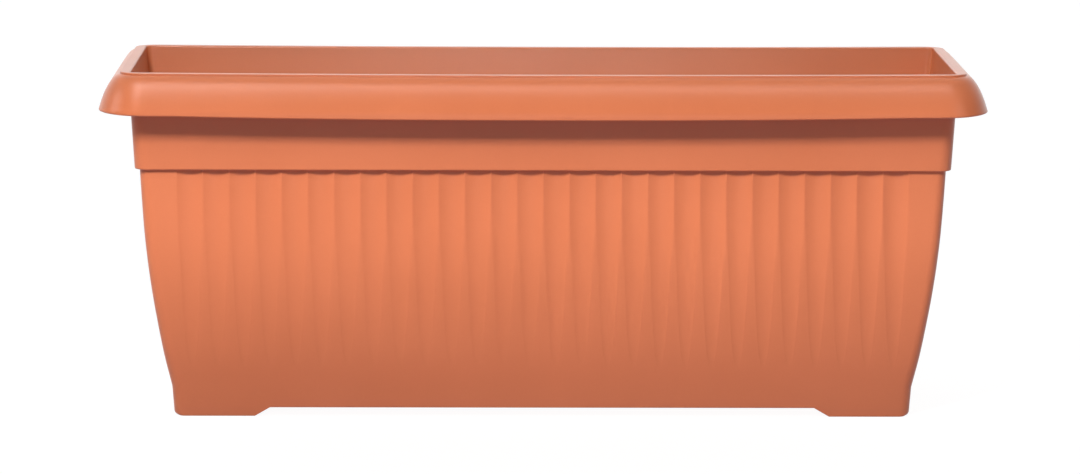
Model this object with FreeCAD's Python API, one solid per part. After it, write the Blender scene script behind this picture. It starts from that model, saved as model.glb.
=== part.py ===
import FreeCAD, Part
import math
import os

# Window box planter, 60 cm size, in millimetres.
# Origin: centre of the footprint on the ground. +X along the long side,
# +Y towards the back, +Z up. The front is at -Y.

# ---------------------------------------------------------------- driving sizes
LENGTH = 600.0          # over the rim skirt
DEPTH = 220.0           # over the rim skirt
HEIGHT = 237.5          # ground to top of lip

RIM_R = 30.0            # plan radius of the skirt's corners
SKIRT_Z = 207.6         # lower edge of the skirt
SKIRT_T = 2.2           # thickness of the skirt
LIP_IN = 14.5           # lip outer edge, inset from the skirt's tip
LIP_R = 16.0
LIP_STEP = 1.5          # the lip stands this far above the skirt's top
LAND_W = 6.4            # width of the flat land on top of the lip
LAND_R = 5.0

COLLAR_Z = 171.0        # underside of the collar band (the ledge)
COLLAR_IN_TOP = 19.0    # collar band's outer face, inset at the top
COLLAR_IN_MID = 21.75   # at COLLAR_MID_Z; above that it flares out behind the skirt
COLLAR_MID_Z = 206.0
COLLAR_IN_BOT = 23.8    # and at the ledge
COLLAR_R = 9.0

WALL_T = 3.2            # wall of the trough
FLOOR_LO = 9.0          # underside of the floor
FLOOR_T = 3.0           # thickness of the floor
FRONT_BOW = 0.55        # the long walls bow inwards this much of what the ends do
BODY_R = 7.0            # plan radius of the body's corners

# outer face of the end walls below the ledge: height, inset from the skirt's tip
BODY_INSET = [
    (171.0, 27.1), (150.0, 28.3), (128.0, 29.8), (106.0, 32.0),
    (84.0, 34.95), (62.0, 38.6), (42.0, 42.35), (20.0, 47.5),
]
PLINTH_IN_BOT = 49.0    # inset of the plinth at the ground

# skirt profile: height, inset from the tip
SKIRT = [
    (207.6, 0.0), (212.0, 0.25), (217.0, 1.55), (222.0, 3.35),
    (227.0, 5.75), (231.0, 8.5), (234.0, 11.3), (236.0, 14.3),
]

FOOT_H = 6.0            # the plinth's edge between the feet is this high
FOOT_X = 55.0           # length of a foot on the long side
FOOT_Y = 44.0           # length of a foot on the end
FOOT_SLANT = 10.3       # run of the slant beside a foot

FLUTE_N_LONG = 28       # flutes on each long side
FLUTE_N_END = 6         # flutes on each end
FLUTE_PITCH = 17.68
FLUTE_RAD = 19.0        # radius of a flute's hollow
# depth of a flute along its height
FLUTE_DEPTH = [
    (171.0, 1.90), (140.0, 1.85), (118.0, 1.55), (98.0, 1.20),
    (78.0, 0.95), (60.0, 0.62), (44.0, 0.28), (33.0, 0.05),
]

RIB_T = 1.8             # ribs under the floor
RIB_Z = 6.2             # their lower edge
RIB_X = [35.0, 105.0, 160.0]
RIB_Y = [24.0]

DRAIN_X = [-190.0, -70.0, 70.0, 190.0]
DRAIN_R = 7.0           # radius of a drain hole
DRAIN_BOSS_R = 10.0     # ring around the drain hole, under the floor

GRID_Z = 33.0           # underside of the false floor
GRID_T = 2.6
GRID_GAP = 1.6          # play between the grid and the walls
GRID_SLOT_W = 3.2
GRID_SLOT_L = 15.0
GRID_LIP = 4.0          # turned-up edge of the grid
LEG_X = [-225.0, -130.0, 0.0, 130.0, 225.0]
LEG_Y = 44.0
LEG_R = 7.0

PLUG_PLAY = 0.08        # radial play of a plug in its hole
PLUG_FLANGE_R = 10.5
PLUG_FLANGE_T = 2.0
PLUG_STEM = 6.5         # stem below the flange
SEAT_PLAY = 0.12        # between a seated piece and the floor

os.makedirs("parts", exist_ok=True)


# ---------------------------------------------------------------- helpers
def interp(table, z):
    pts = sorted(table)
    if z <= pts[0][0]:
        return pts[0][1]
    for (z0, v0), (z1, v1) in zip(pts, pts[1:]):
        if z <= z1:
            return v0 + (v1 - v0) * (z - z0) / (z1 - z0)
    return pts[-1][1]


def ring(hx, hy, r, z):
    """Closed wire of a rectangle with rounded corners, at height z."""
    r = max(min(r, hx - 0.01, hy - 0.01), 0.05)
    V = FreeCAD.Vector
    k = r * math.sqrt(0.5)
    edges = [
        Part.makeLine(V(-hx + r, -hy, z), V(hx - r, -hy, z)),
        Part.Arc(V(hx - r, -hy, z), V(hx - r + k, -hy + r - k, z), V(hx, -hy + r, z)).toShape(),
        Part.makeLine(V(hx, -hy + r, z), V(hx, hy - r, z)),
        Part.Arc(V(hx, hy - r, z), V(hx - r + k, hy - r + k, z), V(hx - r, hy, z)).toShape(),
        Part.makeLine(V(hx - r, hy, z), V(-hx + r, hy, z)),
        Part.Arc(V(-hx + r, hy, z), V(-hx + r - k, hy - r + k, z), V(-hx, hy - r, z)).toShape(),
        Part.makeLine(V(-hx, hy - r, z), V(-hx, -hy + r, z)),
        Part.Arc(V(-hx, -hy + r, z), V(-hx + r - k, -hy + r - k, z), V(-hx + r, -hy, z)).toShape(),
    ]
    return Part.Wire(edges)


def loft(sections, ruled=False):
    """Solid through (half length, half depth, radius, height) sections."""
    return Part.makeLoft([ring(*s) for s in sections], True, ruled)


def block(x0, x1, y0, y1, z0, z1):
    return Part.makeBox(x1 - x0, y1 - y0, z1 - z0, FreeCAD.Vector(x0, y0, z0))


def cyl(r, x, y, z0, z1):
    return Part.makeCylinder(r, z1 - z0, FreeCAD.Vector(x, y, z0))


def prism(points, depth_vec):
    V = FreeCAD.Vector
    pts = [V(*p) for p in points]
    return Part.Face(Part.makePolygon(pts + [pts[0]])).extrude(V(*depth_vec))


def end_inset(z):
    """Inset of the end wall's outer face from the skirt's tip."""
    if z < 20.0:
        return PLINTH_IN_BOT + (interp(BODY_INSET, 20.0) - PLINTH_IN_BOT) * z / 20.0
    return interp(BODY_INSET, z)


def front_inset(z):
    top = BODY_INSET[0][1]
    return top + FRONT_BOW * (end_inset(z) - top)


def half_x(z):
    return LENGTH / 2 - end_inset(z)


def half_y(z):
    return DEPTH / 2 - front_inset(z)


# ---------------------------------------------------------------- trough shell
def body_section(z, off):
    return (half_x(z) - off, half_y(z) - off, max(BODY_R - off * 0.6, 3.0), z)


def make_shell():
    heights = [z for z, _ in BODY_INSET]
    # bowed body, plinth and collar band
    body = loft([body_section(z, 0.0) for z in sorted(heights)])
    plinth = loft([body_section(0.0, 0.0), body_section(20.0, 0.0)], True)
    collar = loft([
        (LENGTH / 2 - COLLAR_IN_BOT, DEPTH / 2 - COLLAR_IN_BOT, COLLAR_R, COLLAR_Z),
        (LENGTH / 2 - COLLAR_IN_MID, DEPTH / 2 - COLLAR_IN_MID, COLLAR_R, COLLAR_MID_Z),
        (LENGTH / 2 - COLLAR_IN_TOP, DEPTH / 2 - COLLAR_IN_TOP, COLLAR_R, 235.0),
    ], True)
    outer = body.fuse([plinth, collar])

    # rolled rim: skirt, raised lip, and the hollow under the skirt
    skirt = loft([
        (LENGTH / 2 - i, DEPTH / 2 - i, RIM_R - i, z) for z, i in SKIRT
    ])
    lip = loft([
        (LENGTH / 2 - LIP_IN, DEPTH / 2 - LIP_IN, LIP_R, HEIGHT - LIP_STEP - 2.0),
        (LENGTH / 2 - LIP_IN, DEPTH / 2 - LIP_IN, LIP_R, HEIGHT),
    ], True)
    under = []
    for z, i in SKIRT[:-1]:
        zz = z if z == SKIRT[0][0] else z - 0.9
        ii = i + SKIRT_T
        under.append((LENGTH / 2 - ii, DEPTH / 2 - ii, RIM_R - ii, zz))
    under[0] = (under[0][0], under[0][1], under[0][2], SKIRT_Z - 1.0)
    hollow = loft(under)
    rim = skirt.fuse(lip).cut(hollow)
    shell = outer.fuse(rim)

    # the inside of the trough
    top = HEIGHT + 1.0
    land = LIP_IN + LAND_W
    inside = loft([
        (half_x(12.0) - WALL_T, half_y(12.0) - WALL_T, 4.5, FLOOR_LO + FLOOR_T),
        (half_x(42.0) - WALL_T, half_y(42.0) - WALL_T, 4.5, 42.0),
        (half_x(84.0) - WALL_T, half_y(84.0) - WALL_T, 4.5, 84.0),
        (half_x(128.0) - WALL_T, half_y(128.0) - WALL_T, 4.5, 128.0),
        (half_x(160.0) - WALL_T, half_y(160.0) - WALL_T, 4.5, 160.0),
        (LENGTH / 2 - COLLAR_IN_BOT - WALL_T, DEPTH / 2 - COLLAR_IN_BOT - WALL_T, 5.5, 178.0),
    ])
    neck = loft([
        (LENGTH / 2 - COLLAR_IN_BOT - WALL_T, DEPTH / 2 - COLLAR_IN_BOT - WALL_T, 5.5, 178.0),
        (LENGTH / 2 - COLLAR_IN_MID - WALL_T, DEPTH / 2 - COLLAR_IN_MID - WALL_T, 5.0, COLLAR_MID_Z),
        (LENGTH / 2 - COLLAR_IN_TOP - WALL_T, DEPTH / 2 - COLLAR_IN_TOP - WALL_T, 4.5, 232.0),
    ], True)
    mouth = loft([
        (LENGTH / 2 - COLLAR_IN_TOP - WALL_T, DEPTH / 2 - COLLAR_IN_TOP - WALL_T, 4.5, 232.0),
        (LENGTH / 2 - land - 1.0, DEPTH / 2 - land - 1.0, 4.6, 235.8),
        (LENGTH / 2 - land - 0.4, DEPTH / 2 - land - 0.4, 4.8, 236.9),
        (LENGTH / 2 - land, DEPTH / 2 - land, LAND_R, HEIGHT),
    ], True)
    cap = loft([
        (LENGTH / 2 - land, DEPTH / 2 - land, LAND_R, HEIGHT),
        (LENGTH / 2 - land, DEPTH / 2 - land, LAND_R, top),
    ], True)
    shell = shell.cut(inside).cut(neck).cut(mouth).cut(cap)

    # hollow under the floor, inside the plinth
    under_floor = loft([
        (half_x(0.0) - WALL_T + 0.4, half_y(0.0) - WALL_T + 0.4, 4.5, -1.0),
        (half_x(FLOOR_LO) - WALL_T, half_y(FLOOR_LO) - WALL_T, 4.5, FLOOR_LO),
    ], True)
    shell = shell.cut(under_floor)

    # ribs under the floor and the box of ribs that closes each foot
    extra = []
    hx, hy = half_x(4.0) - WALL_T + 1.0, half_y(4.0) - WALL_T + 1.0
    for x in RIB_X:
        for s in (-1, 1):
            extra.append(block(s * x - RIB_T / 2, s * x + RIB_T / 2, -hy, hy, RIB_Z, FLOOR_LO + 0.5))
    for y in RIB_Y:
        for s in (-1, 1):
            extra.append(block(-hx, hx, s * y - RIB_T / 2, s * y + RIB_T / 2, RIB_Z, FLOOR_LO + 0.5))
    fx, fy = half_x(0.0) - FOOT_X, half_y(0.0) - FOOT_Y
    for sx in (-1, 1):
        for sy in (-1, 1):
            xa, xb = sorted((sx * fx, sx * (fx + 2.2)))
            ya, yb = sorted((sy * fy, sy * (hy)))
            extra.append(block(xa, xb, ya, yb, 0.0, FLOOR_LO + 0.5))
            xa, xb = sorted((sx * fx, sx * hx))
            ya, yb = sorted((sy * fy, sy * (fy + 2.2)))
            extra.append(block(xa, xb, ya, yb, 0.0, FLOOR_LO + 0.5))
    for x in DRAIN_X:
        extra.append(cyl(DRAIN_BOSS_R, x, 0.0, RIB_Z, FLOOR_LO + 0.5))
    shell = shell.fuse(extra)

    # drain holes
    shell = shell.cut([cyl(DRAIN_R, x, 0.0, -1.0, FLOOR_LO + FLOOR_T + 1.0) for x in DRAIN_X])

    # gaps in the plinth between the feet, with slanted ends
    gx, gy = half_x(0.0) - FOOT_X, half_y(0.0) - FOOT_Y
    cut_long = prism([
        (-gx, -200.0, -1.0), (gx, -200.0, -1.0), (gx, -200.0, 0.0),
        (gx - FOOT_SLANT, -200.0, FOOT_H), (-gx + FOOT_SLANT, -200.0, FOOT_H), (-gx, -200.0, 0.0),
    ], (0, 400.0, 0))
    sl = FOOT_SLANT * 0.8
    cut_end = prism([
        (-400.0, -gy, -1.0), (-400.0, gy, -1.0), (-400.0, gy, 0.0),
        (-400.0, gy - sl, FOOT_H), (-400.0, -gy + sl, FOOT_H), (-400.0, -gy, 0.0),
    ], (800.0, 0, 0))
    shell = shell.cut([cut_long, cut_end])
    return shell


def flute_cutter(n_steps_table):
    """Tool for one flute on the front wall, centred on x = 0."""
    V = FreeCAD.Vector
    wires = []
    for z, d in sorted(n_steps_table):
        w = min(math.sqrt(8.0 * FLUTE_RAD * d), FLUTE_PITCH - 0.5) / 2
        y = -(DEPTH / 2 - front_inset(z))
        out = y - 2.0
        arc = Part.Arc(V(-w, y - 0.05, z), V(0, y + d, z), V(w, y - 0.05, z)).toShape()
        wires.append(Part.Wire([
            arc,
            Part.makeLine(V(w, y - 0.05, z), V(w, out, z)),
            Part.makeLine(V(w, out, z), V(-w, out, z)),
            Part.makeLine(V(-w, out, z), V(-w, y - 0.05, z)),
        ]))
    return Part.makeLoft(wires, True, False)


def end_flute_cutter(n_steps_table):
    V = FreeCAD.Vector
    wires = []
    for z, d in sorted(n_steps_table):
        w = min(math.sqrt(8.0 * FLUTE_RAD * d), FLUTE_PITCH - 0.5) / 2
        x = half_x(z)
        out = x + 2.0
        arc = Part.Arc(V(x + 0.05, -w, z), V(x - d, 0, z), V(x + 0.05, w, z)).toShape()
        wires.append(Part.Wire([
            arc,
            Part.makeLine(V(x + 0.05, w, z), V(out, w, z)),
            Part.makeLine(V(out, w, z), V(out, -w, z)),
            Part.makeLine(V(out, -w, z), V(x + 0.05, -w, z)),
        ]))
    return Part.makeLoft(wires, True, False)


def cut_flutes(shell):
    V = FreeCAD.Vector
    base = flute_cutter(FLUTE_DEPTH)
    tools = []
    for i in range(FLUTE_N_LONG):
        x = (i - (FLUTE_N_LONG - 1) / 2.0) * FLUTE_PITCH
        t = base.copy()
        t.translate(V(x, 0, 0))
        tools.append(t)
        m = t.mirror(V(0, 0, 0), V(0, 1, 0))
        tools.append(m)
    side = end_flute_cutter(FLUTE_DEPTH)
    for i in range(FLUTE_N_END):
        y = (i - (FLUTE_N_END - 1) / 2.0) * FLUTE_PITCH
        t = side.copy()
        t.translate(V(0, y, 0))
        tools.append(t)
        tools.append(t.mirror(V(0, 0, 0), V(1, 0, 0)))
    return shell.cut(tools)


# ---------------------------------------------------------------- drainage grid
def make_grid():
    z0, z1 = GRID_Z, GRID_Z + GRID_T
    hx = half_x(z0) - WALL_T - GRID_GAP
    hy = half_y(z0) - WALL_T - GRID_GAP
    plate = loft([(hx, hy, 4.0, z0), (hx, hy, 4.0, z1)], True)
    lip_out = loft([(hx, hy, 4.0, z1 - 0.5), (hx, hy, 4.0, z1 + GRID_LIP)], True)
    lip_in = loft([(hx - 2.0, hy - 2.0, 2.6, z1 - 1.0), (hx - 2.0, hy - 2.0, 2.6, z1 + GRID_LIP + 1.0)], True)
    grid = plate.fuse(lip_out.cut(lip_in))
    # legs: hollow cups moulded under the plate
    legs = []
    floor = FLOOR_LO + FLOOR_T + SEAT_PLAY
    for x in LEG_X:
        for s in (-1, 1):
            legs.append(Part.makeCone(LEG_R - 1.0, LEG_R, z0 + 0.5 - floor, FreeCAD.Vector(x, s * LEG_Y, floor)))
    grid = grid.fuse(legs)
    cups = []
    for x in LEG_X:
        for s in (-1, 1):
            cups.append(Part.makeCone(LEG_R - 3.0, LEG_R - 1.8, z1 + 1.0 - floor - 2.0,
                                      FreeCAD.Vector(x, s * LEG_Y, floor + 2.0)))
            cups.append(cyl(1.5, x, s * LEG_Y, floor - 1.0, floor + 3.0))
    grid = grid.cut(cups)
    # rows of slots, left out over the legs
    slots = []
    rows = [-56.0, -32.0, -19.0, -6.5, 6.5, 19.0, 32.0, 56.0]
    n = int((2 * hx - 20) // (GRID_SLOT_L + 7.0))
    pitch = (2 * hx - 20) / n
    for r, y in enumerate(rows):
        for i in range(n):
            x = -hx + 10 + pitch * (i + 0.5)
            x0, x1 = x - GRID_SLOT_L / 2, x + GRID_SLOT_L / 2
            if any(x0 - 2.4 < lx < x1 + 2.4 for lx in LEG_X):
                continue
            r_ = GRID_SLOT_W / 2
            s = block(x0 + r_, x1 - r_, y - r_, y + r_, z0 - 1, z1 + 1)
            s = s.fuse([cyl(r_, x0 + r_, y, z0 - 1, z1 + 1), cyl(r_, x1 - r_, y, z0 - 1, z1 + 1)])
            slots.append(s)
    grid = grid.cut(slots)
    return grid


# ---------------------------------------------------------------- drain plugs
def make_plug(x):
    V = FreeCAD.Vector
    zf = FLOOR_LO + FLOOR_T + SEAT_PLAY
    r = DRAIN_R - PLUG_PLAY
    # turned outline: flange with a rounded edge, stem with a tapered nose
    pts = [
        V(0, 0, zf - PLUG_STEM + 4.4),
        V(r - 1.8, 0, zf - PLUG_STEM + 4.4),
        V(r - 1.8, 0, zf - PLUG_STEM),
        V(r - 0.9, 0, zf - PLUG_STEM),
        V(r, 0, zf - PLUG_STEM + 1.8),
        V(r, 0, zf),
        V(PLUG_FLANGE_R - 0.3, 0, zf),
        V(PLUG_FLANGE_R, 0, zf + 0.5),
        V(PLUG_FLANGE_R, 0, zf + PLUG_FLANGE_T - 0.7),
        V(PLUG_FLANGE_R - 0.8, 0, zf + PLUG_FLANGE_T),
        V(0, 0, zf + PLUG_FLANGE_T),
    ]
    wire = Part.makePolygon(pts + [pts[0]])
    plug = Part.Face(wire).revolve(V(0, 0, 0), V(0, 0, 1), 360)
    # finger tab with a hole
    zt = zf + PLUG_FLANGE_T - 0.3
    tab = block(-5.5, 5.5, -1.2, 1.2, zt, zt + 3.0)
    top = Part.makeCylinder(5.5, 2.4, V(0, -1.2, zt + 3.0), V(0, 1, 0))
    eye = Part.makeCylinder(2.7, 4.0, V(0, -2.0, zt + 3.8), V(0, 1, 0))
    plug = plug.fuse([tab, top]).cut(eye)
    plug.translate(V(x, 0, 0))
    return plug


def tidy(shape):
    s = shape.removeSplitter()
    if len(s.Solids) == 1:
        s = s.Solids[0]
    return s


def save(name, shape):
    s = tidy(shape)
    print(name, "valid" if s.isValid() else "INVALID", len(s.Solids), "solid(s)",
          "volume cm3", round(s.Volume / 1000.0, 1), "faces", len(s.Faces))
    s.exportStep("parts/%s.step" % name)


shell = make_shell()
shell = cut_flutes(shell)
save("trough_shell", shell)
save("drainage_grid", make_grid())
for i, x in enumerate(DRAIN_X):
    save("drain_plug_%d" % (i + 1), make_plug(x))
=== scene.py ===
import math
import bpy
import numpy as np
from mathutils import Matrix, Vector
from mathutils.geometry import delaunay_2d_cdt


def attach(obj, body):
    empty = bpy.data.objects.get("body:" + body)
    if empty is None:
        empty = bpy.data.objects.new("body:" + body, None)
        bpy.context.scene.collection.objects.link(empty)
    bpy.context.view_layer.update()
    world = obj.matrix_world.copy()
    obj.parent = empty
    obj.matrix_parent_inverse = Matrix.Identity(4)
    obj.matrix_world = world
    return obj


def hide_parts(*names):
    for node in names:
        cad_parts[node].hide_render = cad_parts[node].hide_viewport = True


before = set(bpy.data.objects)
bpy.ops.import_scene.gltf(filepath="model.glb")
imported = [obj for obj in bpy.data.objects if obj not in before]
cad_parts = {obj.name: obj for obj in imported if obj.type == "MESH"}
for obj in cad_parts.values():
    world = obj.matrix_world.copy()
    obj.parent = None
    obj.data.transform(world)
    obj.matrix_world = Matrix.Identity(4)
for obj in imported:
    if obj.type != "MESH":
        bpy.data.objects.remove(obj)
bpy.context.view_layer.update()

# Window box planter. Sizes below are in millimetres and become metres when a
# mesh is made. +X along the long side, +Y to the back, +Z up, front at -Y.

LX, LY, TOP = 300.0, 110.0, 237.5      # half length, half depth, height over the rim
RIM_R = 30.0                           # plan radius of the skirt's corners
PITCH, N_LONG, N_END = 17.68, 28, 6    # flutes
WALL = 2.3                             # moulded wall
FLOOR_LO, FLOOR_HI = 9.0, 12.0
DRAIN_X = (-190.0, -70.0, 70.0, 190.0)
DRAIN_R, BOSS_R, BOSS_Z = 7.0, 10.0, 6.2
FOOT_H, FOOT_LONG, FOOT_END = 6.0, 196.0, 26.9
SLANT_LONG, SLANT_END = 10.3, 8.24


# ------------------------------------------------------------------ curves
def curve(points):
    """Smooth curve through (x, y) points that never overshoots."""
    p = sorted(points)
    x = np.array([a for a, _ in p], float)
    y = np.array([b for _, b in p], float)
    h = np.diff(x)
    s = np.diff(y) / h
    m = np.zeros(len(x))
    m[0], m[-1] = s[0], s[-1]
    for k in range(1, len(x) - 1):
        if s[k - 1] * s[k] > 0:
            w1, w2 = 2 * h[k] + h[k - 1], h[k] + 2 * h[k - 1]
            m[k] = (w1 + w2) / (w1 / s[k - 1] + w2 / s[k])

    def f(q):
        q = np.clip(np.asarray(q, float), x[0], x[-1])
        k = np.clip(np.searchsorted(x, q, side="right") - 1, 0, len(x) - 2)
        t = (q - x[k]) / h[k]
        return ((1 + 2 * t) * (1 - t) ** 2 * y[k] + t * (1 - t) ** 2 * h[k] * m[k]
                + t * t * (3 - 2 * t) * y[k + 1] + t * t * (t - 1) * h[k] * m[k + 1])
    return f


def smooth(t):
    t = np.clip(t, 0.0, 1.0)
    return t * t * (3 - 2 * t)


body_curve = curve([(20, 47.5), (42, 42.35), (62, 38.6), (84, 34.95), (106, 32.0),
                    (128, 29.8), (150, 28.3), (171, 27.1), (180, 26.7)])
skirt_curve = curve([(205, 0.0), (210.8, 0.0), (212.4, 0.2), (215.1, 1.0), (217.8, 1.8), (220.6, 2.8),
                     (223.3, 3.9), (226, 5.2), (228.7, 6.7), (231.4, 8.5), (232.8, 9.6),
                     (234.1, 10.9), (235.5, 12.9), (236.0, 14.3)])
flute_curve = curve([(171, 2.3), (160, 2.0), (140, 1.9), (118, 1.6), (98, 1.22), (78, 0.95), (60, 0.62),
                     (44, 0.28), (33, 0.0), (0, 0.0)])


def end_inset(z):
    z = np.asarray(z, float)
    low = 49.0 - 1.5 * z / 20.0
    return np.where(z < 20.0, low, body_curve(z))


def long_inset(z):
    z = np.asarray(z, float)
    raw = lambda q: 27.1 + 0.55 * (end_inset(np.clip(q, 0, 171)) - 27.1)
    soft = (raw(z - 8) + 2 * raw(z - 4) + 3 * raw(z) + 2 * raw(z + 4) + raw(z + 8)) / 9.0
    k = smooth((z - 6.0) / 8.0) * (1 - smooth((z - 34.0) / 10.0))
    return raw(z) * (1 - k) + soft * k


def flute_w(z, d):
    w = np.minimum(np.sqrt(8.0 * 19.0 * np.maximum(d, 0.0)), PITCH - 0.3)
    k = smooth((z - 27.0) / 10.0)
    return np.maximum(w, 2.6) * k + 14.0 * (1 - k)


# ------------------------------------------------------------------ stations round the trough
A_LONG, A_END = PITCH * N_LONG / 2, PITCH * N_END / 2
US = [-1.0, -0.9, -0.72, -0.5, -0.25, 0.0, 0.25, 0.5, 0.72, 0.9, 1.0]
MARGIN = 5
CORNER = 13

side, kind, base, uu, mm, th = [], [], [], [], [], []


def put(s, k, b=0.0, u=0.0, m=0.0, t=0.0):
    side.append(s), kind.append(k), base.append(b), uu.append(u), mm.append(m), th.append(t)


for s in range(4):
    n = N_LONG if s % 2 == 0 else N_END
    for j in range(MARGIN):
        put(s, 1, m=-(MARGIN - j) / (MARGIN + 1.0))
    for i in range(n):
        put(s, 0, b=(i - n / 2) * PITCH)
        for u in US:
            put(s, 2, b=(i - (n - 1) / 2) * PITCH, u=u)
    put(s, 0, b=(n / 2) * PITCH)
    for j in range(MARGIN):
        put(s, 1, m=(j + 1) / (MARGIN + 1.0))
    for j in range(CORNER):
        put(s, 3, t=math.pi / 2 * j / (CORNER - 1))

side, kind = np.array(side), np.array(kind)
base, uu, mm, th = (np.array(v, float) for v in (base, uu, mm, th))
N = len(side)
LONG = side % 2 == 0
TAN = np.array([(1, 0), (0, 1), (-1, 0), (0, -1)], float)[side]
NRM = np.array([(0, -1), (1, 0), (0, 1), (-1, 0)], float)[side]



def squeeze(z):
    """The columns of the long sides draw together a little at the plinth, where the corners leave less room."""
    return np.where(LONG, 1.0 - 0.0225 * (1 - smooth((np.asarray(z, float) - 22.0) / 14.0)), 1.0)


# columns that meet the corners of the feet
snap_to = np.full(N, np.nan)
nominal = squeeze(0.0) * (base + uu * 7.0)
for s in range(4):
    marks = (FOOT_LONG, FOOT_LONG - SLANT_LONG) if s % 2 == 0 else (FOOT_END, FOOT_END - SLANT_END)
    for g in marks:
        for sg in (-1, 1):
            idx = np.where((side == s) & ((kind == 0) | (kind == 2)))[0]
            k = idx[np.argmin(np.abs(nominal[idx] - sg * g))]
            snap_to[k] = sg * g


def ring(z, ix, iy, r, d=0.0, w=14.0, snap=0.0):
    """One ring of points round the trough. ix and iy are the insets of the ends and of the long sides."""
    z, ix, iy, r, d, w, snap = (np.broadcast_to(np.asarray(v, float), (N,)) for v in (z, ix, iy, r, d, w, snap))
    hx, hy = LX - ix, LY - iy
    H = np.where(LONG, hy, hx)
    hs = np.where(LONG, hx, hy) - r
    A = np.where(LONG, A_LONG, A_END)
    S = squeeze(z)
    a = S * (base + uu * w / 2)
    a = np.where(kind == 1, np.sign(mm) * (S * A + np.abs(mm) * (hs - S * A)), a)
    a = np.where(np.isnan(snap_to), a, a + snap * (np.nan_to_num(snap_to) - a))
    off = np.where(kind == 2, d * (1 - uu * uu), 0.0)
    xy = TAN * a[:, None] + NRM * (H - off)[:, None]
    c = TAN * hs[:, None] + NRM * (H - r)[:, None]
    arc = c + r[:, None] * (np.cos(th)[:, None] * NRM + np.sin(th)[:, None] * TAN)
    xy = np.where((kind == 3)[:, None], arc, xy)
    return np.column_stack([xy, z])


rows = []


def add(z, ix, iy=None, r=5.0, d=0.0, w=14.0, snap=0.0):
    rows.append(ring(z, ix, ix if iy is None else iy, r, d, w, snap))


# angle round a corner counted from the long side
from_long = np.where(LONG, th, math.pi / 2 - th)
flat0 = ring(0.0, end_inset(0.0), long_inset(0.0), 7.0, snap=1.0)
along = np.abs(np.where(LONG, flat0[:, 0], flat0[:, 1]))
reach = np.where(LONG, FOOT_LONG, FOOT_END)
slant = np.where(LONG, SLANT_LONG, SLANT_END)
zb = np.where(kind == 3, 0.0, FOOT_H * np.clip((reach - along) / slant, 0.0, 1.0))
fil = np.where(LONG, 0.9, 1.6 + 1.6 * np.where(kind == 1, np.abs(mm), 0.0))
fil = np.where(kind == 3, 0.9 + 2.3 * smooth(from_long / math.radians(65)), fil)


def wall(z, extra, **k):
    """A ring on the body's outer face at each station's own height, moved in by extra."""
    r = np.maximum(7.0 - np.asarray(extra, float), 3.0)
    add(z, end_inset(z) + extra, long_inset(z) + extra, r, **k)


# --- inside of the plinth, its lower edge and its outer face
T0 = 2.6
Tb = np.maximum(T0, fil + 1.3)
wall(np.full(N, FLOOR_LO), T0 + 0.8, snap=1.0)
wall(np.full(N, FLOOR_LO - 0.23), T0 + 0.23, snap=1.0)
wall(np.full(N, FLOOR_LO - 0.8), T0 + 0.0, snap=1.0)
for t in (0.5, 1.0):
    wall((FLOOR_LO - 0.8) * (1 - t) + (zb + 0.6) * t, T0 * (1 - t) + Tb * t, snap=1.0)
wall(zb + 0.18, Tb - 0.18, snap=1.0)
wall(zb, Tb - 0.6, snap=1.0)
for deg in (0, 22, 45, 68, 90):
    a = math.radians(deg)
    wall(zb + fil * (1 - math.cos(a)), fil * (1 - math.sin(a)), snap=1.0)
for t in (0.35, 0.7, 1.0):
    wall((zb + fil) * (1 - t) + 13.0 * t, 0.0, snap=1.0)

# --- bowed body with its flutes
levels = [15.5, 17.5, 19.0, 20.2, 21.4, 23.0, 25.0, 27.5, 30.0, 32.5, 35.0, 38.0, 41.0, 44.0]
levels += list(np.arange(48.0, 169.0, 4.0)) + [170.3]
for z in levels:
    zz = np.full(N, z)
    d = flute_curve(zz)
    snap = 1 - float(smooth((z - 20.0) / 8.0))
    wall(zz, 0.0, d=d, w=flute_w(zz, d), snap=snap)

# --- ledge under the collar, and the collar
d, w = 2.3, PITCH - 0.3
add(170.75, 27.14 - 0.2, r=7.1, d=d, w=w)
add(171.0, 27.1 - 0.7, r=7.5, d=d, w=w)
add(171.0, 24.6, r=8.4, w=w)
add(171.23, 24.03, r=8.8, w=w)
add(171.8, 23.78, r=9.0, w=15.5)


def collar(z):
    return float(np.interp(z, [171, 206, 235], [23.8, 21.75, 19.0]))


for z in (176, 184, 192, 200, 206, 214, 222, 228):
    add(z, collar(z), r=9.0)

# --- hollow under the rolled rim
ins = collar(230)
for a in (0, 30, 60, 90):
    t = math.radians(a)
    add(231.8 + 2.6 * math.sin(t), ins - 2.6 * (1 - math.cos(t)), r=9.0 + 2.6 * (1 - math.cos(t)))
zs = np.linspace(211.0, 236.0, 60)
px, pz = skirt_curve(zs), zs
tx, tz = np.gradient(px), np.gradient(pz)
ln = np.hypot(tx, tz)
qx, qz = px + 2.2 * tz / ln, pz - 2.2 * tx / ln
under = curve(sorted({round(float(b), 3): float(a) for a, b in zip(qx, qz)}.items()))
z_in_top = float(qz.max())
add(234.35, 16.2, r=RIM_R - 16.2)
add(234.1, 15.0, r=RIM_R - 15.0)
for z in (233.5, 232.5, 231.0, 228.5, 225.5, 222.0, 218.5, 215.5):
    i = float(under(z))
    add(z, i, r=RIM_R - i)

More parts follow.
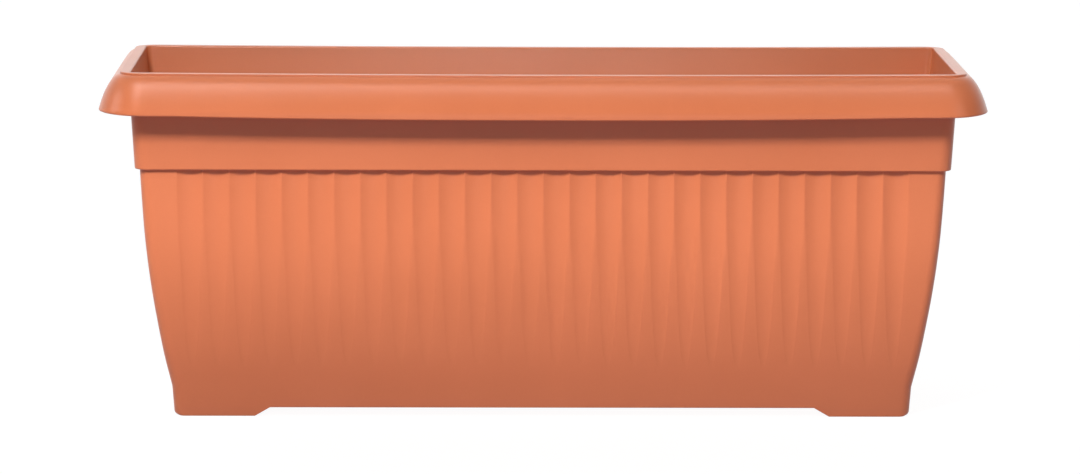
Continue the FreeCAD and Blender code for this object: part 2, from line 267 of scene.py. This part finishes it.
# lower edge of the skirt: lowest in the middle of the long sides
ze = 207.6 + 2.4 * (np.abs(flat0[:, 0]) / 245.0 * 0.98) ** 2.4
ze = np.where(LONG & (kind != 3), np.minimum(ze, 210.0), ze)
ze = np.where(kind == 3, 210.0 + 1.0 * smooth(from_long / (math.pi / 2)), ze)
ze = np.where(~LONG & (kind != 3), 210.3 + 0.7 * np.clip(np.abs(flat0[:, 1]) / 64.0, 0, 1) ** 2, ze)
E = 1.1
for t in (0.4, 0.8):
    z = 215.5 * (1 - t) + (ze + E) * t
    i = 2.2 + (float(under(215.5)) - 2.2) * (1 - t) ** 1.6
    add(z, i, r=RIM_R - i)
for deg in (0, 35, 68, 100, 130, 155, 180):
    a = math.radians(deg)
    i = E + E * math.cos(a)
    add(ze + E - E * math.sin(a), i, r=RIM_R - i)

# --- skirt's outer face, rolling over to the lip
for t in (0.35, 0.7):
    z = (ze + E) * (1 - t) + 214.0 * t
    i = skirt_curve(z)
    add(z, i, r=RIM_R - i)
for z in (214.0, 215.6, 217.2, 219.0, 221.0, 223.0, 225.0, 227.0, 228.7, 230.3, 231.7, 232.9, 233.9, 234.8, 235.4, 235.8):
    i = float(skirt_curve(z))
    add(z, i, r=RIM_R - i)
add(235.95, 14.15, r=RIM_R - 14.15)
# raised lip and its land
LIP = 14.5
add(236.05, LIP, r=RIM_R - LIP)
add(236.95, LIP + 0.02, r=RIM_R - LIP)
add(237.3, LIP + 0.14, r=RIM_R - LIP - 0.14)
add(237.5, LIP + 0.5, r=RIM_R - LIP - 0.5)
add(237.5, 17.5, r=12.0)
LAND_R = 5.5
ARC = 1.3
land = 20.4
for deg in (0, 18, 36, 54, 72, 90):
    a = math.radians(deg)
    i = land + ARC * math.sin(a)
    add(237.5 - ARC * (1 - math.cos(a)), i, r=LAND_R - 0.8 * (i - land))

# --- inside of the collar, the inner step and the bowed inside of the wall
for z in (230.0, 222.0, 212.0, 202.0, 192.0, 184.0):
    i = float(np.interp(z, [176, 206, 236], [26.1, 24.4, 21.72]))
    add(z, i, r=4.5)
add(177.0, 26.05, r=5.0)
add(174.6, 26.3, r=5.4)
add(173.5, 27.1, r=5.5)
add(173.2, 28.2, r=5.5, d=0.8, w=PITCH - 0.3)
add(172.9, 29.0, r=5.4, d=1.6, w=PITCH - 0.3)
add(171.6, 29.42, r=5.0, d=1.75, w=PITCH - 0.3)
for z in list(np.arange(168.0, 47.0, -6.0)) + [44.0, 38.0, 33.0, 28.0, 22.0, 18.0]:
    zz = np.full(N, z)
    d = flute_curve(zz)
    wall(zz, WALL, d=0.9 * d, w=flute_w(zz, d))
for deg in (0, 30, 60, 90):
    a = math.radians(deg)
    z = FLOOR_HI + 4.0 * (1 - math.sin(a))
    wall(np.full(N, z), WALL + 4.0 * (1 - math.cos(a)))

P = np.array(rows)
R = len(rows)

# the long sides sag a little at the lip
sag = 0.9 * np.clip(1 - (P[:, :, 0] / 285.0) ** 2, 0, 1) * smooth((P[:, :, 2] - 214.0) / 23.0)
P[:, :, 2] -= sag
verts = P.reshape(-1, 3)
faces = []
k = np.arange(N)
k1 = (k + 1) % N
for i in range(R - 1):
    a, b = i * N, (i + 1) * N
    faces.append(np.column_stack([a + k, a + k1, b + k1, b + k]))
quads = np.concatenate(faces)

# --- floor's two faces with the drain holes, their walls and bosses
SEG = 48
ang = np.arange(SEG) * 2 * math.pi / SEG
extra_v, loops = [], {}
start = len(verts)
for n, x in enumerate(DRAIN_X):
    for name, rad, z in (("top", DRAIN_R + 0.5, FLOOR_HI), ("rim", DRAIN_R, FLOOR_HI - 0.5), ("low", DRAIN_R, BOSS_Z),
                         ("boss", BOSS_R - 0.3, BOSS_Z), ("edge", BOSS_R, BOSS_Z + 0.3), ("under", BOSS_R, FLOOR_LO)):
        loops[n, name] = start + len(extra_v) + np.arange(SEG)
        extra_v += [(x + rad * math.cos(t), rad * math.sin(t), z) for t in ang]
verts = np.concatenate([verts, np.array(extra_v)])
quads_more = []
for n in range(len(DRAIN_X)):
    names = ["top", "rim", "low", "boss", "edge", "under"]
    for p, q in zip(names, names[1:]):
        u, v = loops[n, p], loops[n, q]
        quads_more.append(np.column_stack([u, np.roll(u, -1), np.roll(v, -1), v]))
quads_more = np.concatenate(quads_more)


def cap(outer, names, up):
    """Flat sheet inside the outer loop, less the circles."""
    ids = list(outer)
    edges = [(i, (i + 1) % len(outer)) for i in range(len(outer))]
    for n in range(len(DRAIN_X)):
        s0 = len(ids)
        ids += list(loops[n, names])
        edges += [(s0 + i, s0 + (i + 1) % SEG) for i in range(SEG)]
    pts = [Vector((verts[i, 0] / 100, verts[i, 1] / 100)) for i in ids]
    vv, _, ff, orig, _, _ = delaunay_2d_cdt(pts, edges, [], 1, 1e-7)
    out = []
    for f in ff:
        c = sum((vv[i] for i in f), Vector((0, 0))) / len(f) * 100
        if any(math.hypot(c.x - x, c.y) < (DRAIN_R if up else BOSS_R) for x in DRAIN_X):
            continue
        tri = [ids[orig[i][0]] for i in f]
        p = [verts[i] for i in tri]
        turn = (p[1][0] - p[0][0]) * (p[2][1] - p[0][1]) - (p[1][1] - p[0][1]) * (p[2][0] - p[0][0])
        if abs(turn) < 1e-9:
            continue
        if (turn > 0) != up:
            tri.reverse()
        out.append(tri)
    return out


tris = cap((R - 1) * N + k, "top", True) + cap(k, "under", False)


def box(x0, x1, y0, y1, z0, z1, sink=0.0):
    """Closed box; its lower end is narrower by sink on each face, as a moulded rib is."""
    global verts
    x0, x1 = sorted((x0, x1))
    y0, y1 = sorted((y0, y1))
    tx_ = sink if (x1 - x0) < (y1 - y0) else 0.0
    ty_ = sink if tx_ == 0.0 else 0.0
    v = np.array([(x0 + tx_, y0 + ty_, z0), (x1 - tx_, y0 + ty_, z0), (x1 - tx_, y1 - ty_, z0), (x0 + tx_, y1 - ty_, z0),
                  (x0, y0, z1), (x1, y0, z1), (x1, y1, z1), (x0, y1, z1)])
    s0 = len(verts)
    verts = np.concatenate([verts, v])
    return [[s0 + i for i in f] for f in ((0, 3, 2, 1), (4, 5, 6, 7), (0, 1, 5, 4), (1, 2, 6, 5), (2, 3, 7, 6), (3, 0, 4, 7))]


ribs = []
hx_in = LX - float(end_inset(6.0)) - T0 + 0.7
hy_in = LY - float(long_inset(6.0)) - T0 + 0.7
for x in (35.0, 105.0, 160.0):
    for s in (-1, 1):
        ribs += box(s * x - 0.9, s * x + 0.9, -hy_in, hy_in, BOSS_Z, FLOOR_LO + 0.6, 0.15)
for s in (-1, 1):
    ribs += box(-hx_in, hx_in, s * 24.0 - 0.9, s * 24.0 + 0.9, BOSS_Z + 0.01, FLOOR_LO + 0.6, 0.15)
for sx in (-1, 1):
    for sy in (-1, 1):
        fx, fy = FOOT_LONG, FOOT_END
        ribs += box(sx * (fx + 0.2), sx * (fx + 2.4), sy * (fy + 0.1), sy * (hy_in - 0.4), 0.02, FLOOR_LO + 0.6, 0.15)
        ribs += box(sx * (fx + 0.2), sx * (hx_in - 1.6), sy * (fy + 0.1), sy * (fy + 2.3), 0.02, FLOOR_LO + 0.6, 0.15)

polys = quads.tolist() + quads_more.tolist() + tris + ribs


def make_mesh(name, v, f, sharp=50):
    me = bpy.data.meshes.new(name)
    me.from_pydata([tuple(p) for p in (np.asarray(v) / 1000.0)], [], f)
    me.validate()
    me.polygons.foreach_set("use_smooth", [True] * len(me.polygons))
    me.set_sharp_from_angle(angle=math.radians(sharp))
    ob = bpy.data.objects.new(name, me)
    bpy.context.scene.collection.objects.link(ob)
    m = ob.modifiers.new("normals", "WEIGHTED_NORMAL")
    m.keep_sharp = True
    m.weight = 60
    return ob


shell = make_mesh("planter_shell", verts, polys)
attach(shell, "planter")
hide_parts("trough_shell")


# ------------------------------------------------------------------ materials
def node(nt, kind_, **vals):
    n = nt.nodes.new(kind_)
    for key, v in vals.items():
        setattr(n, key, v)
    return n


def noise(nt, coord, scale, detail=3.0, rough=0.5):
    n = node(nt, "ShaderNodeTexNoise")
    n.inputs["Scale"].default_value = scale
    n.inputs["Detail"].default_value = detail
    n.inputs["Roughness"].default_value = rough
    nt.links.new(coord, n.inputs["Vector"])
    return n


def stretch(nt, coord, sx, sy, sz):
    m = node(nt, "ShaderNodeMapping")
    m.inputs["Scale"].default_value = (sx, sy, sz)
    nt.links.new(coord, m.inputs["Vector"])
    return m.outputs["Vector"]


def ramp(nt, fac, stops):
    r = node(nt, "ShaderNodeValToRGB")
    e = r.color_ramp.elements
    while len(e) < len(stops):
        e.new(0.5)
    for el, (p, c) in zip(e, stops):
        el.position = p
        el.color = (*c, 1.0) if len(c) == 3 else c
    nt.links.new(fac, r.inputs["Fac"])
    return r.outputs["Color"]


def mix(nt, a, b, fac, mode="MIX"):
    m = node(nt, "ShaderNodeMix", data_type="RGBA", blend_type=mode)
    for sock, v in ((m.inputs[6], a), (m.inputs[7], b)):
        if isinstance(v, tuple):
            sock.default_value = (*v, 1.0)
        else:
            nt.links.new(v, sock)
    if isinstance(fac, float):
        m.inputs[0].default_value = fac
    else:
        nt.links.new(fac, m.inputs[0])
    return m.outputs[2]


def to_range(nt, val, a, b, lo=0.3, hi=0.7):
    m = node(nt, "ShaderNodeMapRange")
    m.inputs["From Min"].default_value = lo
    m.inputs["From Max"].default_value = hi
    m.inputs["To Min"].default_value = a
    m.inputs["To Max"].default_value = b
    nt.links.new(val, m.inputs["Value"])
    return m.outputs["Result"]


def bump(nt, height, strength, distance, after=None):
    b = node(nt, "ShaderNodeBump")
    b.inputs["Strength"].default_value = strength
    b.inputs["Distance"].default_value = distance
    nt.links.new(height, b.inputs["Height"])
    if after is not None:
        nt.links.new(after, b.inputs["Normal"])
    return b.outputs["Normal"]


def plastic(name, deep, mid, pale, rough=(0.4, 0.5), grain=1.0, sheen=0.0, ior=1.49):
    """Satin moulded polypropylene: cloudy pigment, flow streaks, spark-eroded grain."""
    mat = bpy.data.materials.new(name)
    mat.use_nodes = True
    nt = mat.node_tree
    bsdf = nt.nodes["Principled BSDF"]
    tc = node(nt, "ShaderNodeTexCoord").outputs["Object"]
    cloud = noise(nt, tc, 7.0, 4.0, 0.55)
    colour = ramp(nt, cloud.outputs["Fac"], [(0.28, deep), (0.5, mid), (0.74, pale)])
    flow = noise(nt, stretch(nt, tc, 26.0, 26.0, 3.0), 1.0, 4.0, 0.6)
    streak = ramp(nt, flow.outputs["Fac"], [(0.3, (0.965, 0.965, 0.965)), (0.7, (1.0, 1.0, 1.0))])
    colour = mix(nt, colour, streak, 0.6, "MULTIPLY")
    fleck = noise(nt, tc, 900.0, 2.0, 0.6)
    dust = ramp(nt, fleck.outputs["Fac"], [(0.25, (0.97, 0.965, 0.96)), (0.6, (1.0, 1.0, 1.0))])
    colour = mix(nt, colour, dust, 0.5, "MULTIPLY")
    nt.links.new(colour, bsdf.inputs["Base Color"])
    smear = noise(nt, stretch(nt, tc, 9.0, 9.0, 5.0), 1.0, 5.0, 0.6)
    nt.links.new(to_range(nt, smear.outputs["Fac"], rough[0], rough[1]), bsdf.inputs["Roughness"])
    wave = noise(nt, stretch(nt, tc, 11.0, 11.0, 8.0), 1.0, 2.0, 0.5)
    n1 = bump(nt, wave.outputs["Fac"], 0.25, 0.0012)
    fine = noise(nt, tc, 1500.0, 2.0, 0.5)
    n2 = bump(nt, fine.outputs["Fac"], 0.16 * grain, 0.00022, n1)
    nt.links.new(n2, bsdf.inputs["Normal"])
    bsdf.inputs["IOR"].default_value = ior
    if sheen:
        bsdf.inputs["Sheen Weight"].default_value = sheen
        bsdf.inputs["Sheen Roughness"].default_value = 0.4
    return mat


terracotta = plastic("terracotta_pp", (0.650, 0.182, 0.071), (0.680, 0.194, 0.078), (0.708, 0.204, 0.084),
                     rough=(0.28, 0.335))
shell.data.materials.append(terracotta)

grid_mat = plastic("grid_pp", (0.135, 0.034, 0.017), (0.155, 0.041, 0.020), (0.175, 0.048, 0.024), rough=(0.42, 0.55))
plug_mat = plastic("plug_rubber", (0.0085, 0.0075, 0.0070), (0.0105, 0.0095, 0.0085), (0.013, 0.012, 0.011),
                   rough=(0.6, 0.75), grain=1.6)


def dress(name, mat):
    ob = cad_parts[name]
    ob.data.materials.clear()
    ob.data.materials.append(mat)


dress("drainage_grid", grid_mat)
for i in range(4):
    dress("drain_plug_%d" % (i + 1), plug_mat)

# ------------------------------------------------------------------ floor
fm = bpy.data.meshes.new("floor")
F = 9.0
fm.from_pydata([(-F, -F, 0), (F, -F, 0), (F, F, 0), (-F, F, 0)], [], [(0, 1, 2, 3)])
floor = bpy.data.objects.new("floor", fm)
bpy.context.scene.collection.objects.link(floor)
fmat = bpy.data.materials.new("floor_white")
fmat.use_nodes = True
fn = fmat.node_tree
fn.nodes.clear()


def floor_part(albedo, glow, tint=(1, 1, 1)):
    p = node(fn, "ShaderNodeBsdfPrincipled")
    p.inputs["Base Color"].default_value = (albedo, albedo, albedo, 1)
    p.inputs["Roughness"].default_value = 0.9
    p.inputs["Specular IOR Level"].default_value = 0.1
    p.inputs["Emission Color"].default_value = (*tint, 1)
    p.inputs["Emission Strength"].default_value = glow
    return p.outputs[0]


# the sheet looks white, and throws only a little light back up
path = node(fn, "ShaderNodeLightPath")
shine = node(fn, "ShaderNodeMixShader")
fn.links.new(path.outputs["Is Glossy Ray"], shine.inputs[0])
fn.links.new(floor_part(0.12, 0.28, (1.0, 0.55, 0.70)), shine.inputs[1])
fn.links.new(floor_part(0.12, 0.85), shine.inputs[2])
fmix = node(fn, "ShaderNodeMixShader")
fn.links.new(path.outputs["Is Camera Ray"], fmix.inputs[0])
fn.links.new(shine.outputs[0], fmix.inputs[1])
fn.links.new(floor_part(0.09, 0.955), fmix.inputs[2])
fn.links.new(fmix.outputs[0], node(fn, "ShaderNodeOutputMaterial").inputs["Surface"])
fm.materials.append(fmat)

# ------------------------------------------------------------------ light
scene = bpy.context.scene
scene.view_settings.view_transform = "Standard"
SKY = 0.616
world = bpy.data.worlds.new("studio")
scene.world = world
world.use_nodes = True
wn = world.node_tree
wn.nodes.clear()
out = wn.nodes.new("ShaderNodeOutputWorld")
seen, lit = wn.nodes.new("ShaderNodeBackground"), wn.nodes.new("ShaderNodeBackground")
seen.inputs["Color"].default_value = (1, 1, 1, 1)
seen.inputs["Strength"].default_value = 1.0
lit.inputs["Color"].default_value = (1.0, 1.0, 1.0, 1)
lp = wn.nodes.new("ShaderNodeLightPath")
# soft light from a ceiling: none from the level, all of it from straight above
sky = wn.nodes.new("ShaderNodeSeparateXYZ")
wn.links.new(wn.nodes.new("ShaderNodeTexCoord").outputs["Generated"], sky.inputs[0])
wn.links.new(to_range(wn, sky.outputs["Z"], 0.0, SKY, 0.3, 0.9), lit.inputs["Strength"])
# the pale backdrop shows in the glancing reflections
behind = wn.nodes.new("ShaderNodeBackground")
wn.links.new(to_range(wn, sky.outputs["Y"], 0.15, 1.8, -0.1, 0.7), behind.inputs["Strength"])
gl = wn.nodes.new("ShaderNodeMixShader")
wn.links.new(lp.outputs["Is Glossy Ray"], gl.inputs[0])
wn.links.new(lit.outputs[0], gl.inputs[1])
wn.links.new(behind.outputs[0], gl.inputs[2])
mx = wn.nodes.new("ShaderNodeMixShader")
wn.links.new(lp.outputs["Is Camera Ray"], mx.inputs[0])
wn.links.new(gl.outputs[0], mx.inputs[1])
wn.links.new(seen.outputs[0], mx.inputs[2])
wn.links.new(mx.outputs[0], out.inputs["Surface"])


def area(name, loc, target, size, power, colour=(1, 1, 1), size_y=None):
    li = bpy.data.lights.new(name, "AREA")
    li.shape = "RECTANGLE" if size_y else "DISK"
    li.size = size
    if size_y:
        li.size_y = size_y
    li.energy = power
    li.color = colour
    ob = bpy.data.objects.new(name, li)
    ob.location = loc
    ob.rotation_euler = (Vector(target) - Vector(loc)).to_track_quat("-Z", "Y").to_euler()
    scene.collection.objects.link(ob)
    return ob


def from_front(az, el, dist, aim):
    a, e = math.radians(az), math.radians(el)
    return Vector(aim) + dist * Vector((math.sin(a) * math.cos(e), -math.cos(a) * math.cos(e), math.sin(e)))


def slot_lamp(name, az, el, dist, aim_at, half_h, half_w, power, shine=False, radius=0.055):
    """Gridded lamp that throws a level band of light, 2 * half_h high, about this point."""
    li = bpy.data.lights.new(name, "SPOT")
    li.energy = power
    li.shadow_soft_size = radius
    li.spot_blend = 1.0
    loc = from_front(az, el, dist, (0.0, -0.09, 0.13))
    aim_at = Vector(aim_at)
    back = (loc - aim_at).normalized()
    up = back.cross(Vector((1, 0, 0))).normalized()
    over = up.cross(back)
    d_ = (aim_at - loc).length
    ah, av = math.atan(half_w / d_), math.atan(half_h * math.cos(math.radians(el)) / d_)
    li.spot_size = 2 * ah
    ob = bpy.data.objects.new(name, li)
    ob.location = loc
    ob.rotation_mode = "QUATERNION"
    ob.rotation_quaternion = Matrix(((over.x, up.x, back.x), (over.y, up.y, back.y), (over.z, up.z, back.z))).to_quaternion()
    ob.scale = (1.0, math.tan(av) / math.tan(ah), 1.0)
    ob.visible_glossy = shine
    scene.collection.objects.link(ob)


KEY_AZ = -20.0
for n, e in enumerate((33.6, 36.2, 38.8, 41.4)):
    slot_lamp("key_%d" % n, KEY_AZ, e, 1.9, (0.0, -0.09, 0.158), 0.115, 2.5, 43.5)
    slot_lamp("key_low_%d" % n, KEY_AZ, e, 1.9, (0.0, -0.09, 0.045), 0.11, 2.5, 19.5)
    slot_lamp("key_in_%d" % n, KEY_AZ, e, 1.9, (0.0, 0.086, 0.205), 0.065, 2.5, 33.0, True)
slot_lamp("key_in_front", 0.0, 16.0, 1.9, (0.0, 0.086, 0.222), 0.024, 0.42, 31.0, True, 0.03)
mid = (0.0, -0.05, 0.13)
area("fill_low", from_front(0, 5, 1.9, mid), mid, 0.9, 2.2)
area("fill_right", from_front(45, 20, 1.7, mid), mid, 0.6, 1.2)
area("fill_left", from_front(-80, 22, 1.7, mid), mid, 0.6, 3.0)

# cards that only show in the satin surface
rim_at = (0.0, -0.1, 0.23)
for card in (area("card_left", from_front(-32, 46, 1.7, rim_at), rim_at, 0.16, 6.5, size_y=0.9),
             area("card_top", from_front(-8, 61, 1.8, rim_at), rim_at, 2.2, 8.5, size_y=0.30)):
    card.visible_diffuse = False

# ------------------------------------------------------------------ camera
cam_data = bpy.data.cameras.new("camera")
cam_data.sensor_fit = "HORIZONTAL"
cam_data.sensor_width = 36.0
cam_data.lens = 165.25
cam_data.clip_end = 100.0
cam = bpy.data.objects.new("camera", cam_data)
yaw, pitch, roll = math.radians(0.88), math.radians(8.065), math.radians(0.241)
f = Vector((math.sin(yaw) * math.cos(pitch), math.cos(yaw) * math.cos(pitch), -math.sin(pitch)))
r0 = Vector((math.cos(yaw), -math.sin(yaw), 0.0))
u0 = r0.cross(f)
r2 = math.cos(roll) * r0 + math.sin(roll) * u0
u2 = -math.sin(roll) * r0 + math.cos(roll) * u0
at = Vector((-0.0532, -3.4046, 0.5962))
cam.matrix_world = Matrix(((r2.x, u2.x, -f.x, at.x), (r2.y, u2.y, -f.y, at.y), (r2.z, u2.z, -f.z, at.z), (0, 0, 0, 1)))
scene.collection.objects.link(cam)
scene.camera = cam
